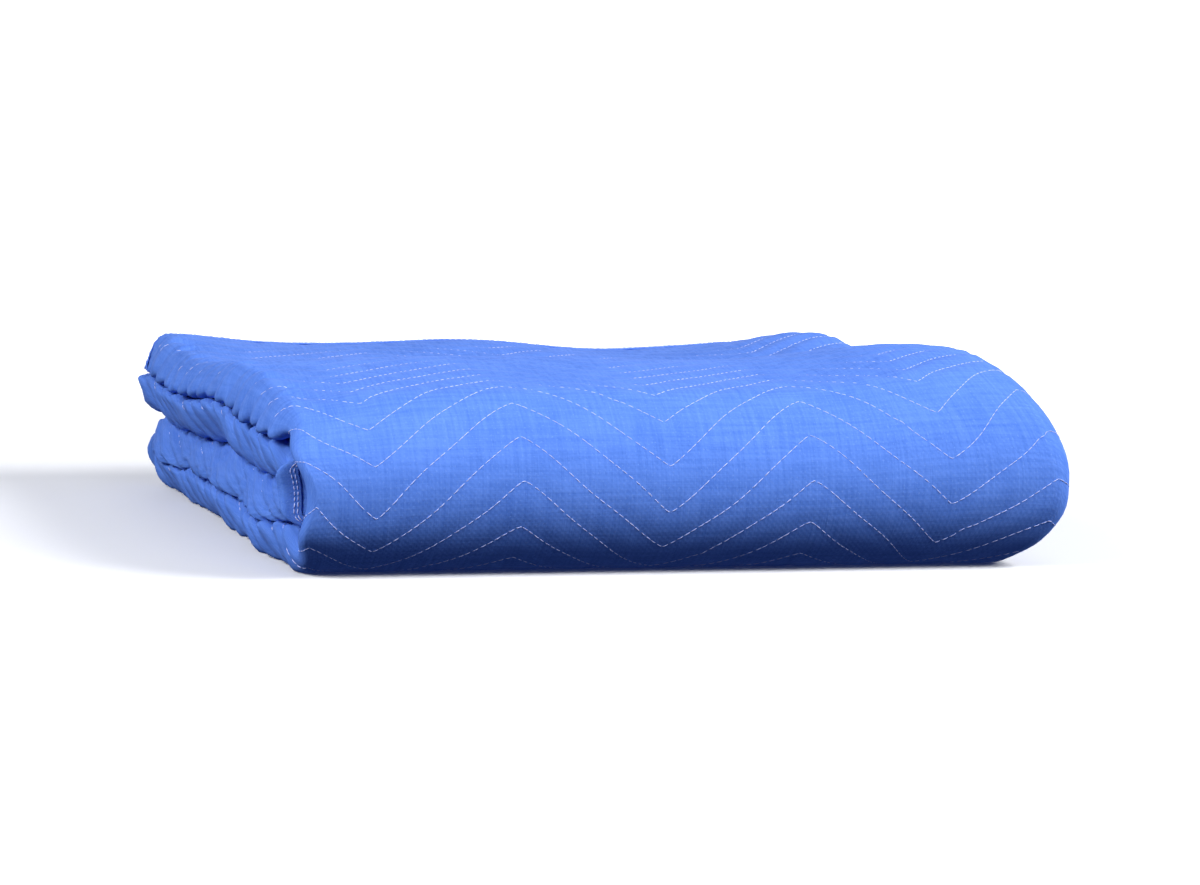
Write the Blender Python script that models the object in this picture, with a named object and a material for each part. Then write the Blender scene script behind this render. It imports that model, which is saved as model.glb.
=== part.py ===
# A quilted moving blanket, folded in four across its width and in four along its length.
#
# The cloth is one sheet. It is folded twice across, which makes a long strip of four layers,
# and the strip is then folded twice along, which makes a pile of sixteen. The wide smooth bend
# is at the front (-Y), the loose fold loops are at the left (-X), and +Z is up.
#
# A place on the cloth is given by a column (where it lies across the strip), a row (where it
# lies along the strip) and a height off the middle of the cloth. Each has a short table below.

from math import cos, degrees, dist, exp, pi, radians, sin, sqrt

import bpy

# Driving dimensions, in metres
WIDTH = 0.500
DEPTH = 0.455
HEIGHT = 0.100
CLOTH = 0.0046
TAPE_WIDTH = 0.010
TAPE = 0.0008
TAPE_FOLD = 0.0014
GAP = 0.0004
FOLD_GAP = 0.0012

# What follows from them
PITCH = HEIGHT / 16
STRIP = 4 * PITCH
EDGE_CLOTH = 0.0030
EDGE_SHOULDER = 0.006

# The front bend, the back bend and the free ends, along Y
FRONT_BEND_Y = -DEPTH / 2 + 2 * STRIP
BACK_BEND_Y = DEPTH / 2 - STRIP
INNER_BEND_Y = FRONT_BEND_Y + 0.009
TOP_END_Y = DEPTH / 2 - 0.004
INNER_END_Y = DEPTH / 2 - 0.009

# The strip's two sides, along X
RIGHT_BEND_X = WIDTH / 2 - STRIP / 2
LEFT_LOOP_X = -WIDTH / 2 + STRIP / 2
LOOP_AT_BEND = -0.005
RISE_LENGTH = 0.024

# The hems lie back behind the loose loops, and come out level with the cloth at the front bend
HEM_BACK = 0.028
HEM_AT_BEND = -0.010
HEM_OUT_DEG = (12.0, 57.0)
LOOP_OPEN_DEG = (56.0, 90.0)

# The inner two layers sag back inside the front bend
SAG_LEFT = 0.0085
SAG_RIGHT = 0.004
SAG_REACH = 0.14
SAG_DEG = 62.0

# How the pile has settled
FRONT_LEAN = 0.004
FRONT_REACH = 0.12
WIDEST_LEVEL = 0.46
ROUND_TOP = 0.028
ROUND_POWER = 2.5
ROUND_BOTTOM = 0.028
ROUND_REACH = 0.16
ROUND_AT_BACK = 0.55
LEFT_REACH = 0.12
SQUARE_LOOP = 0.005
SQUARE_REACH = 0.035
SIDE_WAVE = 0.0022

# Swells and hollows of the pile, with their place, spread and height
SWELLS = [
    {"x": -0.060, "y": -0.110, "wide": 0.300, "deep": 0.140, "rise": 0.0135},
    {"x": -0.090, "y": -0.030, "wide": 0.220, "deep": 0.060, "rise": 0.0055},
    {"x": -0.020, "y": 0.075, "wide": 0.210, "deep": 0.050, "rise": -0.0065},
    {"x": 0.204, "y": -0.105, "wide": 0.090, "deep": 0.140, "rise": 0.0235},
    {"x": 0.210, "y": 0.140, "wide": 0.048, "deep": 0.070, "rise": 0.0170},
    {"x": 0.080, "y": 0.200, "wide": 0.050, "deep": 0.090, "rise": -0.0030},
    {"x": -0.020, "y": 0.190, "wide": 0.060, "deep": 0.060, "rise": 0.0045},
    {"x": -0.230, "y": 0.200, "wide": 0.050, "deep": 0.090, "rise": 0.0065},
    {"x": -0.240, "y": -0.200, "wide": 0.050, "deep": 0.060, "rise": -0.0080},
    {"x": 0.250, "y": 0.200, "wide": 0.040, "deep": 0.070, "rise": -0.0050},
]

# Bends and level runs of the strip, from its free end on top to its free end inside.
# Levels and radii are in strip thicknesses. Out is +1 where the outer layer is on the side
# away from the bend's middle, or on top of a level run. Left is how far the left side lies in
# from the widest loop where the run starts and where it finishes, in metres.
EVEN_3 = (0.333, 0.667, 1.0)
EVEN_4 = (0.25, 0.5, 0.75, 1.0)
EVEN_5 = (0.2, 0.4, 0.6, 0.8, 1.0)
FRONT_STOPS = (0.12, 0.22, 0.30, 0.38, 0.5, 0.62, 0.70, 0.78, 0.88, 1.0)
ROWS = [
    {"level": 3.5, "y": (TOP_END_Y, FRONT_BEND_Y), "out": 1, "left": (0.001, 0.000), "end": "start"},
    {"bend_y": FRONT_BEND_Y, "middle": 2.0, "radius": 1.5, "deg": (90, 270), "out": 1,
     "stops": FRONT_STOPS, "left": (0.000, 0.008)},
    {"level": 0.5, "y": (FRONT_BEND_Y, BACK_BEND_Y), "out": -1, "left": (0.008, 0.010)},
    {"bend_y": BACK_BEND_Y, "middle": 1.0, "radius": 0.5, "deg": (270, 450), "out": 1,
     "stops": EVEN_5, "left": (0.010, 0.009)},
    {"level": 1.5, "y": (BACK_BEND_Y, INNER_BEND_Y), "out": 1, "left": (0.009, 0.007)},
    {"bend_y": INNER_BEND_Y, "middle": 2.0, "radius": 0.5, "deg": (270, 90), "out": -1,
     "stops": EVEN_4, "left": (0.007, 0.003)},
    {"level": 2.5, "y": (INNER_BEND_Y, INNER_END_Y), "out": -1, "left": (0.003, 0.000), "end": "finish"},
]

# Lying layers are all divided at the same places along Y, so that their flats nest
LEVEL_CELL = (BACK_BEND_Y - FRONT_BEND_Y) / 5
NEAR_EDGE = 0.022
EVEN_PATCH = 0.03

# Layers and folds of the strip, from one hem to the other. Layers are numbered in pitches
# from the middle of the strip, the outer one at +1.5.
COLUMNS = [
    {"fold": "layer", "at": -1.5, "from": "rise", "to": "right", "stops": EVEN_5, "end": "start"},
    {"fold": "right", "radius": 1.5, "deg": (-90, 90), "stops": EVEN_5},
    {"fold": "layer", "at": 1.5, "from": "right", "to": "rise", "stops": EVEN_5},
    {"fold": "layer", "at": 1.5, "from": "rise", "to": "left", "stops": (1.0,)},
    {"fold": "loop", "stops": EVEN_5},
    {"fold": "rise", "stops": EVEN_3},
    {"fold": "layer", "at": 0.5, "from": "rise", "to": "right", "stops": EVEN_5},
    {"fold": "right", "radius": 0.5, "deg": (90, -90), "stops": EVEN_3},
    {"fold": "layer", "at": -0.5, "from": "right", "to": "rise", "stops": EVEN_5, "end": "finish"},
]


def ease(share):
    share = min(max(share, 0.0), 1.0)
    return share * share * (3.0 - 2.0 * share)


def between(value, low, high):
    return (value - low) / (high - low)


def place_on_row(row, share, inset):
    """Where the strip's middle is: y, z, the way its outer layer faces, and the turn from level."""
    if "level" in row:
        start, finish = row["y"]
        y = start + (finish - start) * share
        if inset is not None:
            y -= inset
        return y, row["level"] * STRIP, 0.0, float(row["out"]), 90.0
    start, finish = row["deg"]
    turn = radians(start + (finish - start) * share)
    radius = row["radius"] * STRIP
    y = row["bend_y"] + radius * cos(turn)
    z = row["middle"] * STRIP + radius * sin(turn)
    from_level = abs(degrees(turn) - 180.0) if row["radius"] > 1.0 else 90.0
    return y, z, row["out"] * cos(turn), row["out"] * sin(turn), from_level


def hem_x(from_level):
    back = ease(between(from_level, *HEM_OUT_DEG))
    return LEFT_LOOP_X + HEM_AT_BEND + (HEM_BACK - HEM_AT_BEND) * back


def loop_opening(from_level):
    """1 where the left fold is a loose loop as thick as the strip, 0 where it is pulled tight."""
    return ease(between(from_level, *LOOP_OPEN_DEG))


def loop_foot(from_level):
    return (0.5 - 2.0 * loop_opening(from_level)) * PITCH


def loop_x(from_level):
    return LEFT_LOOP_X + LOOP_AT_BEND * (1.0 - loop_opening(from_level))


def place_on_column(column, share, inset, from_level):
    """Where the middle of the cloth is across the strip: x, s, and the way its face looks."""
    left = loop_x(from_level)
    ends = {"right": RIGHT_BEND_X, "left": left, "rise": left + RISE_LENGTH}
    if column["fold"] == "layer":
        start, finish = ends[column["from"]], ends[column["to"]]
        x = start + (finish - start) * share
        if inset is not None:
            x = hem_x(from_level) + inset
        return x, column["at"] * PITCH, 0.0, -1.0 if finish > start else 1.0
    if column["fold"] == "right":
        start, finish = column["deg"]
        turn = radians(start + (finish - start) * share)
        out = 1.0 if finish > start else -1.0
        radius = column["radius"] * PITCH
        return RIGHT_BEND_X + radius * cos(turn), radius * sin(turn), out * cos(turn), out * sin(turn)
    top, foot = 1.5 * PITCH, loop_foot(from_level)
    if column["fold"] == "loop":
        radius = (top - foot) / 2
        turn = pi * (0.5 + share)
        return left + radius * cos(turn), foot + radius + radius * sin(turn), cos(turn), sin(turn)
    climb = 0.5 * PITCH - foot
    slope = climb * 6.0 * share * (1.0 - share) / RISE_LENGTH
    length = sqrt(1.0 + slope * slope)
    return left + RISE_LENGTH * share, foot + climb * ease(share), slope / length, -1.0 / length


def sag(x, s, from_level):
    """The inner two layers hang back from the outer two inside the front bend."""
    inner = ease(between(s, 0.15 * PITCH, -0.15 * PITCH))
    arc = max(cos(radians(from_level) * 90.0 / SAG_DEG), 0.0) if from_level < SAG_DEG else 0.0
    along = ease(between(x, LEFT_LOOP_X, LEFT_LOOP_X + SAG_REACH))
    return inner * arc * arc * (SAG_LEFT + (SAG_RIGHT - SAG_LEFT) * along)


def left_in(row, share):
    start, finish = row["left"]
    return start + (finish - start) * ease(share)


def swell(x, y):
    rise = 0.0
    for row in SWELLS:
        across = (x - row["x"]) / row["wide"]
        along = (y - row["y"]) / row["deep"]
        rise += row["rise"] * exp(-across * across - along * along)
    return 1.0 + rise / HEIGHT


def settle(x, y, z):
    """The pile as it lies: swollen, leaning back at the top of the bend, rounded at the right."""
    level = z / HEIGHT
    front = ease(between(y, FRONT_BEND_Y + FRONT_REACH, FRONT_BEND_Y - 2 * STRIP))
    y += FRONT_LEAN * level * level * front
    if level > WIDEST_LEVEL:
        pulled = ROUND_TOP * max(between(level, WIDEST_LEVEL, 1.0), 0.0) ** ROUND_POWER
    else:
        pulled = ROUND_BOTTOM * max(between(level, WIDEST_LEVEL, 0.0), 0.0) ** ROUND_POWER
    pulled *= ROUND_AT_BACK + (1.0 - ROUND_AT_BACK) * front
    x -= pulled * ease(between(x, WIDTH / 2 - ROUND_REACH, WIDTH / 2))
    left = ease(between(x, -WIDTH / 2 + LEFT_REACH, -WIDTH / 2))
    z += SIDE_WAVE * sin(pi * level) * left * sin(23.0 * y + 0.8)
    z *= swell(x, y)
    return x, y, z


def place(column, across, row, along, height):
    """A point of the cloth: a column and a row, each with its share done and its distance in
    from an edge of the cloth, and a height off the middle of the cloth."""
    y, z, out_y, out_z, from_level = place_on_row(row, *along)
    x, s, face_x, face_s = place_on_column(column, *across, from_level)
    s += face_s * height - sag(x, s, from_level)
    x += face_x * height
    x += left_in(row, along[0]) * ease(between(x, -WIDTH / 2 + LEFT_REACH, -WIDTH / 2))
    square = ease(between(x, -WIDTH / 2 + SQUARE_REACH, -WIDTH / 2)) * loop_opening(from_level)
    x -= SQUARE_LOOP * (2.0 * s / STRIP) ** 2 * square
    return settle(x, y + out_y * s, z + out_z * s - (PITCH - CLOTH) / 2)


def stops_of(run):
    if "level" not in run:
        return run["stops"]
    start, finish = run["y"]
    shared = [FRONT_BEND_Y + LEVEL_CELL * i for i in range(6)]
    inside = [y for y in shared if min(abs(y - start), abs(y - finish)) > NEAR_EDGE]
    return sorted(between(y, start, finish) for y in inside if 0.0 < between(y, start, finish) < 1.0) + [1.0]


def stations(table):
    """Cell edges along a table: each run with its share done, and its distance in from an edge
    of the cloth where it is near one."""
    insets = (0.0, TAPE_WIDTH, TAPE_WIDTH + EDGE_SHOULDER)
    found = []
    for run in table:
        stops = stops_of(run)
        if run.get("end") == "start":
            found += [(run, (0.0, inset)) for inset in insets]
        if run.get("end") == "finish":
            found += [(run, (share, None)) for share in stops[:-1]]
            found += [(run, (1.0, inset)) for inset in reversed(insets)]
        else:
            found += [(run, (share, None)) for share in stops]
    return found


def under_tape(station):
    inset = station[1][1]
    return inset is not None and inset <= TAPE_WIDTH


def join_first_to_third(a, b, c, d):
    """Which way to split a four-sided patch: the shorter way if it slants, else the same way
    in every layer, so that lying layers nest."""
    first, second = dist(a, c), dist(b, d)
    if abs(first - second) > EVEN_PATCH * (first + second):
        return first < second
    return (c[0] - a[0]) * (c[1] - a[1]) > (d[0] - b[0]) * (d[1] - b[1])


def quilted_blanket(columns, rows):
    """The sheet: two faces, thinner where the tape holds them, closed round the edge."""
    points, middle = [], []
    for side in (1.0, 0.0, -1.0):
        for row, along in rows:
            for column, across in columns:
                bound = under_tape((row, along)) or under_tape((column, across))
                half = (EDGE_CLOTH if bound else CLOTH) / 2
                found = middle if side == 0.0 else points
                found.append(place(column, across, row, along, side * half))
    wide, long = len(columns), len(rows)
    back = wide * long
    faces = []
    for j in range(long - 1):
        for i in range(wide - 1):
            a, b = j * wide + i, j * wide + i + 1
            c, d = b + wide, a + wide
            halves = ((a, b, d), (b, c, d))
            if join_first_to_third(*(middle[i] for i in (a, b, c, d))):
                halves = ((a, b, c), (a, c, d))
            for p, q, r in halves:
                faces += [(p, q, r), (back + r, back + q, back + p)]
    rim = list(range(wide))
    rim += [j * wide + wide - 1 for j in range(1, long)]
    rim += [(long - 1) * wide + i for i in range(wide - 2, -1, -1)]
    rim += [j * wide for j in range(long - 2, 0, -1)]
    for a, b in zip(rim, rim[1:] + rim[:1]):
        faces.append((b, a, back + a, back + b))
    return points, faces


def edge_binding(columns, rows):
    """The tape: one closed band with a U section, mitred at the sheet's four corners."""
    inner = EDGE_CLOTH / 2 + GAP
    outer = inner + TAPE
    fold = -FOLD_GAP - TAPE_FOLD
    section = [(TAPE_WIDTH, outer), (fold, outer), (fold, -outer), (TAPE_WIDTH, -outer),
               (TAPE_WIDTH, -inner), (-FOLD_GAP, -inner), (-FOLD_GAP, inner), (TAPE_WIDTH, inner)]
    first_column, last_column = columns[0], columns[-1]
    first_row, last_row = rows[0], rows[-1]
    free_columns = [station for station in columns if not under_tape(station)]
    free_rows = [station for station in rows if not under_tape(station)]
    walk = [(first_column, first_row)]
    walk += [(first_column, row) for row in free_rows]
    walk += [(first_column, last_row)]
    walk += [(column, last_row) for column in free_columns]
    walk += [(last_column, last_row)]
    walk += [(last_column, row) for row in reversed(free_rows)]
    walk += [(last_column, first_row)]
    walk += [(column, first_row) for column in reversed(free_columns)]
    points, lines = [], []
    for (column, across), (row, along) in walk:
        for inset, height in section + [(0.0, 0.0), (TAPE_WIDTH, 0.0)]:
            at_column = (across[0], inset) if under_tape((column, across)) else across
            at_row = (along[0], inset) if under_tape((row, along)) else along
            points.append(place(column, at_column, row, at_row, height))
        lines.append((points.pop(-2), points.pop()))
    faces = []
    sides, steps = len(section), len(walk)
    for step in range(steps):
        here, there = step * sides, (step + 1) % steps * sides
        (edge, line), (next_edge, next_line) = lines[step], lines[(step + 1) % steps]
        line_first = join_first_to_third(line, next_line, next_edge, edge)
        for side in range(sides):
            far = (side + 1) % sides
            a, b, c, d = here + side, there + side, there + far, here + far
            if line_first == (section[side] > section[far]):
                faces += [(a, b, c), (a, c, d)]
            else:
                faces += [(a, b, d), (b, c, d)]
    return points, faces


def make_object(name, points, faces, material):
    mesh = bpy.data.meshes.new(name)
    mesh.from_pydata(points, [], faces)
    mesh.materials.append(material)
    mesh.shade_smooth()
    piece = bpy.data.objects.new(name, mesh)
    bpy.context.scene.collection.objects.link(piece)
    return piece


def cloth_material(name, colour, roughness):
    material = bpy.data.materials.new(name)
    material.use_nodes = True
    shader = material.node_tree.nodes["Principled BSDF"]
    shader.inputs["Base Color"].default_value = (*colour, 1.0)
    shader.inputs["Roughness"].default_value = roughness
    shader.inputs["Metallic"].default_value = 0.0
    return material


def main():
    for piece in list(bpy.data.objects):
        bpy.data.objects.remove(piece, do_unlink=True)
    columns, rows = stations(COLUMNS), stations(ROWS)
    royal_blue = cloth_material("royal blue poly-cotton", (0.060, 0.170, 0.640), 0.85)
    tape_blue = cloth_material("royal blue binding tape", (0.052, 0.150, 0.600), 0.80)
    make_object("quilted_blanket", *quilted_blanket(columns, rows), royal_blue)
    make_object("edge_binding", *edge_binding(columns, rows), tape_blue)


main()
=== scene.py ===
# Folded quilted moving blanket: cloth, bound edges, threads, floor, light and camera.
# The cloth is one sheet. A place on it is u (metres across the cloth, from one hem to the other),
# v (metres along it, from the end on top to the end inside) and a height off its middle.
from math import cos, pi, radians, sin

import bpy
import numpy as np
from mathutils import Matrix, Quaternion, Vector


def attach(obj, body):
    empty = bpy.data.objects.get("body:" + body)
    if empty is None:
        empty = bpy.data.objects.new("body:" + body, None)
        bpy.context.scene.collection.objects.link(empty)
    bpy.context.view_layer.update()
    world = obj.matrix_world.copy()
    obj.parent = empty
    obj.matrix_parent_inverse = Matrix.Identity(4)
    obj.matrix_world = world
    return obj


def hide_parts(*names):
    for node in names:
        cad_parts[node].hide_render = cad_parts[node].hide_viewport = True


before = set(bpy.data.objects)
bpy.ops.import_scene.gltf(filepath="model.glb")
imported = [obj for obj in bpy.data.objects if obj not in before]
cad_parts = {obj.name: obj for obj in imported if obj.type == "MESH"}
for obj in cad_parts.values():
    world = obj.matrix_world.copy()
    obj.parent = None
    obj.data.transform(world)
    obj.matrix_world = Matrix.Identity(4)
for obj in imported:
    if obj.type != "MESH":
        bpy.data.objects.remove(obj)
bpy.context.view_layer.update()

# How the pile is folded, in metres; the same folds as the solid model.
folds = {
    "width": 0.500,
    "depth": 0.455,
    "height": 0.100,
    "clothThickness": 0.0046,
    "edgeThickness": 0.0030,
    "tapeWidth": 0.010,
    "edgeShoulder": 0.006,
    "innerBendBack": 0.009,    # the inner bend lies this far behind the front one
    "topEndIn": 0.004,         # how far the strip's two ends lie in from the back
    "innerEndIn": 0.009,
    "loopAtBend": -0.001,      # the tight loop at the left of the front bend
    "riseLength": 0.024,
    "riseCloth": 0.0275,
    "hemBack": 0.028,
    "hemAtBend": -0.0155,
    "hemOutDeg": (22.0, 62.0),
    "loopOpenDeg": (56.0, 90.0),
    "sagLeft": 0.0125,         # the inner two layers hang back inside the front bend
    "sagRight": 0.004,
    "sagReach": 0.14,
    "sagDeg": 62.0,
}
pitch = folds["height"] / 16          # one layer of cloth
strip = 4 * pitch                     # the cloth is folded across into a strip of four layers
halfWidth, halfDepth = folds["width"] / 2, folds["depth"] / 2
frontBendY = -halfDepth + 2 * strip
backBendY = halfDepth - strip
innerBendY = frontBendY + folds["innerBendBack"]
topEndY = halfDepth - folds["topEndIn"]
innerEndY = halfDepth - folds["innerEndIn"]
rightBendX = halfWidth - strip / 2
leftLoopX = -halfWidth + strip / 2

# How the pile has settled, in metres; levels are shares of its height.
settling = {
    "frontLean": 0.004,
    "frontReach": 0.12,
    "widestLevel": 0.46,
    "roundTop": 0.028,
    "roundPower": 2.5,
    "roundBottom": 0.028,
    "roundReach": 0.16,
    "roundAtBack": 0.55,
    "leftReach": 0.12,
    "nearSide": 0.05,
    "squareLoop": 0.002,
    "squarePairs": 0.0085,    # the top two loops are pressed together, and so are the bottom two
    "squareReach": 0.038,
    "pressedCell": (0.060, 0.4),
    "pressedShare": (0.55, 0.45),   # the even and the uneven part
    "sideWave": 0.0022,
    "waveRate": 23.0,
    "waveStart": 0.8,
    "sideLump": 0.0042,
    "lumpCell": (0.052, 0.034),
    "sideBulge": 0.0040,
    "bulgeCell": (0.046, 0.027),
    "bulgeShare": (0.4, 0.6),  # at the top and bottom, and the rest half way up
    "pairBulge": 0.0075,
    "endRound": (0.004, 0.035),   # the corners of the strip's ends draw in this far, over this length
    "lyingOn": 0.0004,        # the underside lies flat on whatever the blanket stands on
    "swells": [  # x, y, wide, deep, rise
        (-0.060, -0.110, 0.300, 0.140, 0.0135),
        (-0.090, -0.030, 0.220, 0.060, 0.0055),
        (-0.020, 0.075, 0.210, 0.050, -0.0065),
        (0.204, -0.105, 0.090, 0.140, 0.0235),
        (0.214, 0.135, 0.055, 0.070, 0.0170),
        (0.080, 0.200, 0.050, 0.090, -0.0030),
        (-0.020, 0.190, 0.060, 0.060, 0.0045),
        (-0.230, 0.200, 0.050, 0.090, 0.0065),
        (-0.240, -0.200, 0.050, 0.060, -0.0080),
        (0.255, 0.200, 0.035, 0.070, -0.0040),
    ],
}

# Runs of the strip from its free end on top to its free end inside; levels and radii in strips,
# leftIn is how far its left side lies in from the widest loop, turned counts its half turns.
alongRuns = [
    {"level": 3.5, "y": (topEndY, frontBendY), "out": 1, "leftIn": (0.001, 0.000), "turned": (0, 0)},
    {"bendY": frontBendY, "middle": 2.0, "radius": 1.5, "deg": (90, 270), "out": 1,
     "leftIn": (0.000, 0.008), "turned": (0, 1)},
    {"level": 0.5, "y": (frontBendY, backBendY), "out": -1, "leftIn": (0.008, 0.010), "turned": (1, 1)},
    {"bendY": backBendY, "middle": 1.0, "radius": 0.5, "deg": (270, 450), "out": 1,
     "leftIn": (0.010, 0.009), "turned": (1, 2)},
    {"level": 1.5, "y": (backBendY, innerBendY), "out": 1, "leftIn": (0.009, 0.007), "turned": (2, 2)},
    {"bendY": innerBendY, "middle": 2.0, "radius": 0.5, "deg": (270, 90), "out": -1,
     "leftIn": (0.007, 0.003), "turned": (2, 1)},
    {"level": 2.5, "y": (innerBendY, innerEndY), "out": -1, "leftIn": (0.003, -0.001), "turned": (1, 1)},
]
# Runs across the strip, from hem to hem; layers and radii in layers from the strip's middle.
acrossRuns = [
    {"layer": -1.5, "ends": ("hem", "right"), "length": rightBendX - leftLoopX - folds["hemBack"]},
    {"turn": 1.5, "deg": (-90, 90), "length": 1.5 * pi * pitch},
    {"layer": 1.5, "ends": ("right", "left"), "length": rightBendX - leftLoopX},
    {"loop": True, "length": 1.5 * pi * pitch},
    {"rise": True, "length": folds["riseCloth"]},
    {"layer": 0.5, "ends": ("rise", "right"), "length": rightBendX - leftLoopX - folds["riseLength"]},
    {"turn": 0.5, "deg": (90, -90), "length": 0.5 * pi * pitch},
    {"layer": -0.5, "ends": ("right", "hem"), "length": rightBendX - leftLoopX - folds["hemBack"]},
]
for run in alongRuns:
    if "level" in run:
        run["length"] = abs(run["y"][1] - run["y"][0])
    else:
        run["length"] = pi * run["radius"] * strip
for table in (alongRuns, acrossRuns):
    reached = 0.0
    for run in table:
        run["start"] = reached
        reached += run["length"]
clothLong = sum(run["length"] for run in alongRuns)
clothWide = sum(run["length"] for run in acrossRuns)
uTurn, uOuter, uLoop, uRise, uInner, uInnerTurn, uInnerHem = (run["start"] for run in acrossRuns[1:])
vBend, vUnder, vBack, vMiddle, vInner, vLast = (run["start"] for run in alongRuns[1:])
print("cloth", round(clothWide, 3), "by", round(clothLong, 3), "m")


def ease(share):
    share = np.clip(share, 0.0, 1.0)
    return share * share * (3.0 - 2.0 * share)


def smoothNoise(a, b, cell, seed):
    # rolling bumps from -1 to 1, one about every cell, the same every time
    size = 64
    table = np.random.default_rng(seed).uniform(-1.0, 1.0, (size, size))
    x, y = np.asarray(a) / cell[0] + 7.3, np.asarray(b) / cell[1] + 3.1   # keeps both above nought
    i, j = np.floor(x).astype(int), np.floor(y).astype(int)
    fx, fy = ease(x - i), ease(y - j)
    i0, i1, j0, j1 = i % size, (i + 1) % size, j % size, (j + 1) % size
    low = table[i0, j0] * (1 - fx) + table[i1, j0] * fx
    high = table[i0, j1] * (1 - fx) + table[i1, j1] * fx
    return low * (1 - fy) + high * fy


def fromEnds(v):
    return np.minimum(v, clothLong - v)


def fromHems(u):
    return np.minimum(u, clothWide - u)


def pickRun(table, value):
    starts = np.array([run["start"] for run in table])
    return np.clip(np.searchsorted(starts, value, side="right") - 1, 0, len(table) - 1)


def alongStrip(v):
    # the strip's middle: y, z, the way its outer layer faces, degrees from the bend's foremost
    # line, and how far its left side lies in
    y, z, outY, outZ, fromLevel, leftIn = (np.zeros_like(v) for i in range(6))
    chosen = pickRun(alongRuns, v)
    for number, run in enumerate(alongRuns):
        here = chosen == number
        share = (v[here] - run["start"]) / run["length"]
        if "level" in run:
            y[here] = run["y"][0] + (run["y"][1] - run["y"][0]) * share
            z[here] = run["level"] * strip
            outZ[here] = run["out"]
            fromLevel[here] = 90.0
        else:
            turn = np.radians(run["deg"][0] + (run["deg"][1] - run["deg"][0]) * share)
            y[here] = run["bendY"] + run["radius"] * strip * np.cos(turn)
            z[here] = run["middle"] * strip + run["radius"] * strip * np.sin(turn)
            outY[here], outZ[here] = run["out"] * np.cos(turn), run["out"] * np.sin(turn)
            fromLevel[here] = np.abs(np.degrees(turn) - 180.0) if run["radius"] > 1.0 else 90.0
        leftIn[here] = run["leftIn"][0] + (run["leftIn"][1] - run["leftIn"][0]) * ease(share)
    return y, z, outY, outZ, fromLevel, leftIn


def easeBetween(value, low, high):
    return ease((value - low) / (high - low))


def acrossStrip(u, fromLevel):
    # where the middle of the cloth is across the strip, x and s, and the way its face looks
    opening = easeBetween(fromLevel, *folds["loopOpenDeg"])
    back = easeBetween(fromLevel, *folds["hemOutDeg"])
    left = leftLoopX + folds["loopAtBend"] * (1.0 - opening)
    foot, top = (0.5 - 2.0 * opening) * pitch, 1.5 * pitch
    ends = {
        "hem": leftLoopX + folds["hemAtBend"] + (folds["hemBack"] - folds["hemAtBend"]) * back,
        "right": np.full_like(u, rightBendX),
        "left": left,
        "rise": left + folds["riseLength"],
    }
    x, s, faceX, faceS = (np.zeros_like(u) for i in range(4))
    chosen = pickRun(acrossRuns, u)
    for number, run in enumerate(acrossRuns):
        here = chosen == number
        share = (u[here] - run["start"]) / run["length"]
        if "layer" in run:
            start, finish = ends[run["ends"][0]][here], ends[run["ends"][1]][here]
            x[here] = start + (finish - start) * share
            s[here] = run["layer"] * pitch
            faceS[here] = np.where(finish > start, -1.0, 1.0)
        elif "turn" in run:
            turn = np.radians(run["deg"][0] + (run["deg"][1] - run["deg"][0]) * share)
            out = 1.0 if run["deg"][1] > run["deg"][0] else -1.0
            x[here] = rightBendX + run["turn"] * pitch * np.cos(turn)
            s[here] = run["turn"] * pitch * np.sin(turn)
            faceX[here], faceS[here] = out * np.cos(turn), out * np.sin(turn)
        elif "loop" in run:
            radius, turn = (top - foot[here]) / 2, pi * (0.5 + share)
            x[here] = left[here] + radius * np.cos(turn)
            s[here] = foot[here] + radius + radius * np.sin(turn)
            faceX[here], faceS[here] = np.cos(turn), np.sin(turn)
        else:
            climb = 0.5 * pitch - foot[here]
            slope = climb * 6.0 * share * (1.0 - share) / folds["riseLength"]
            steep = np.sqrt(1.0 + slope * slope)
            x[here] = left[here] + folds["riseLength"] * share
            s[here] = foot[here] + climb * ease(share)
            faceX[here], faceS[here] = slope / steep, -1.0 / steep
    return x, s, faceX, faceS, opening


def towardsLeft(x, reach):
    # 0 further in than the reach, 1 at the pile's left side
    return easeBetween(x, -halfWidth + reach, -halfWidth)


def settle(x, y, z):
    level = z / folds["height"]
    front = easeBetween(y, frontBendY + settling["frontReach"], frontBendY - 2 * strip)
    y = y + settling["frontLean"] * level * level * front
    # the right side rounds off above and below its widest level
    above = level > settling["widestLevel"]
    reach = np.where(above, 1.0 - settling["widestLevel"], settling["widestLevel"])
    pulled = np.where(above, settling["roundTop"], settling["roundBottom"])
    pulled = pulled * (np.abs(level - settling["widestLevel"]) / reach) ** settling["roundPower"]
    pulled = pulled * (settling["roundAtBack"] + (1.0 - settling["roundAtBack"]) * front)
    x = x - pulled * easeBetween(x, halfWidth - settling["roundReach"], halfWidth)
    # the left side waves and bulges
    left = towardsLeft(x, settling["leftReach"])
    wave = np.sin(settling["waveRate"] * y + settling["waveStart"])
    z = z + settling["sideWave"] * np.sin(pi * level) * left * wave
    near = towardsLeft(x, settling["nearSide"])
    between = np.sin(pi * np.clip(level, 0.0, 1.0))
    z = z + settling["sideLump"] * between * left * smoothNoise(y, z, settling["lumpCell"], 31)
    x = x - settling["pairBulge"] * near * (np.sin(2.0 * pi * level) ** 2 - 1.0)
    least, more = settling["bulgeShare"]
    bulge = smoothNoise(y, z, settling["bulgeCell"], 35) * (least + more * between)
    x = x + settling["sideBulge"] * near * bulge
    rise = np.zeros_like(z)
    for middleX, middleY, wide, deep, height in settling["swells"]:
        rise += height * np.exp(-((x - middleX) / wide) ** 2 - ((y - middleY) / deep) ** 2)
    z = z * (1.0 + rise / folds["height"])
    return x, y, np.maximum(z, settling["lyingOn"])


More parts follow.
